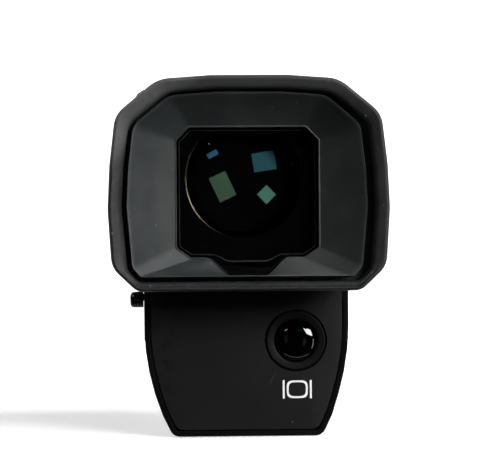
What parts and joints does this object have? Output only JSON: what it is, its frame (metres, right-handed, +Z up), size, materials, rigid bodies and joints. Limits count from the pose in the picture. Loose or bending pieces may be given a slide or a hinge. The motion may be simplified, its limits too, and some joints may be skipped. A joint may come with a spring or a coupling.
{
  "type": "electronic viewfinder",
  "caption": "Accessory-shoe electronic viewfinder: tilting head with a faceted eyecup on a slim base that hangs behind the camera and carries a round push button.",
  "frame": {"origin": "centre of the underside of the accessory shoe foot", "axes": "+Z up, +Y forward towards the subject, +X to the right as the user looks into the eyepiece, which faces -Y"},
  "size_m": [0.0368, 0.0478, 0.0482],
  "materials": {
    "rubber": "matte moulded rubber, fine grain and dust",
    "funnel": "matte dark grey moulding with a fine spark grain",
    "casing": "satin black with a fine grain",
    "inner_black": "dead matte light-absorbing black",
    "gloss_black": "piano black, polished",
    "glass": "polished, with a green to violet coating",
    "steel": "satin stainless steel",
    "black_steel": "blackened steel",
    "board": "solder mask over glass fibre",
    "chip": "matte moulding compound",
    "ribbon": "amber film over copper",
    "diffuser": "white diffusing film"
  },
  "bodies": {
    "base": {"base_body": "casing", "shoe_foot": "steel", "foot_screw_1": "steel", "foot_screw_2": "steel", "foot_screw_3": "steel", "foot_screw_4": "steel", "base_top_plate": "casing", "top_plate_screw_1": "black_steel", "top_plate_screw_2": "black_steel", "top_plate_screw_3": "black_steel", "top_plate_screw_4": "black_steel", "rear_cover": "casing", "button_bezel": "gloss_black", "button_rubber": "rubber", "button_switch": "steel", "button_board": "board", "main_board": "board", "video_chip": "chip", "plug_collar": "inner_black", "plug_shell": "steel", "plug_tongue": "chip", "lock_spring": "steel", "hinge_pin_left": "steel", "hinge_pin_right": "steel", "hinge_washer_left": "steel", "hinge_washer_right": "steel", "hinge_cap_left": "casing", "hinge_cap_right": "casing", "base_ribbon": "ribbon"},
    "head": {"head_upper_shell": "casing", "head_lower_shell": "casing", "head_screw_1": "black_steel", "head_screw_2": "black_steel", "head_screw_3": "black_steel", "head_screw_4": "black_steel", "eyecup": "rubber", "eyecup_funnel": "funnel", "eyepiece_frame": "inner_black", "eyepiece_window": "glass", "sensor_window": "gloss_black", "sensor_module": "chip", "guide_rod_left": "steel", "guide_rod_right": "steel", "panel_frame": "inner_black", "display_mask": "inner_black", "display_panel": "gloss_black", "backlight": "diffuser", "display_board": "board", "head_ribbon": "ribbon"},
    "lens_group": {"lens_holder": "inner_black", "rear_lens": "glass", "middle_lens": "glass", "front_lens": "glass", "lens_spacer": "black_steel", "lens_retainer": "black_steel"},
    "dial": {"diopter_dial": "casing", "dial_clip": "steel"},
    "button": {"button_cap": "gloss_black"},
    "lever": {"lock_lever": "gloss_black"},
    "pin": {"lock_pin": "steel"}
  },
  "joints": [
    {"name": "head_tilt", "type": "hinge", "parent": "base", "child": "head", "pos_m": [0, 0.0103, 0.0192], "axis": [-1, 0, 0], "range_deg": [0, 90]},
    {"name": "dial_turn", "type": "hinge", "parent": "head", "child": "dial", "pos_m": [0.0152, -0.012, 0.0192], "axis": [1, 0, 0], "range_deg": [-90, 180]},
    {"name": "lens_focus", "type": "slide", "parent": "head", "child": "lens_group", "axis": [0, 1, 0], "range_m": [-0.00067, 0.00134]},
    {"name": "button_press", "type": "slide", "parent": "base", "child": "button", "axis": [0, 1, 0], "range_m": [0, 0.0006], "stiffness_N_per_m": 800, "springref_m": -0.0003, "deforming": ["button_rubber"]},
    {"name": "lock_slide", "type": "slide", "parent": "base", "child": "lever", "axis": [0, 1, 0], "range_m": [0, 0.003]},
    {"name": "lock_pin_drop", "type": "slide", "parent": "base", "child": "pin", "axis": [0, 0, -1], "range_m": [0, 0.0015], "deforming": ["lock_spring"]}
  ],
  "couplings": [
    {"joint": "dial_turn", "follows": "lens_focus", "rad_per_m": 2344.5},
    {"joint": "lock_pin_drop", "follows": "lock_slide", "ratio": 0.5}
  ]
}
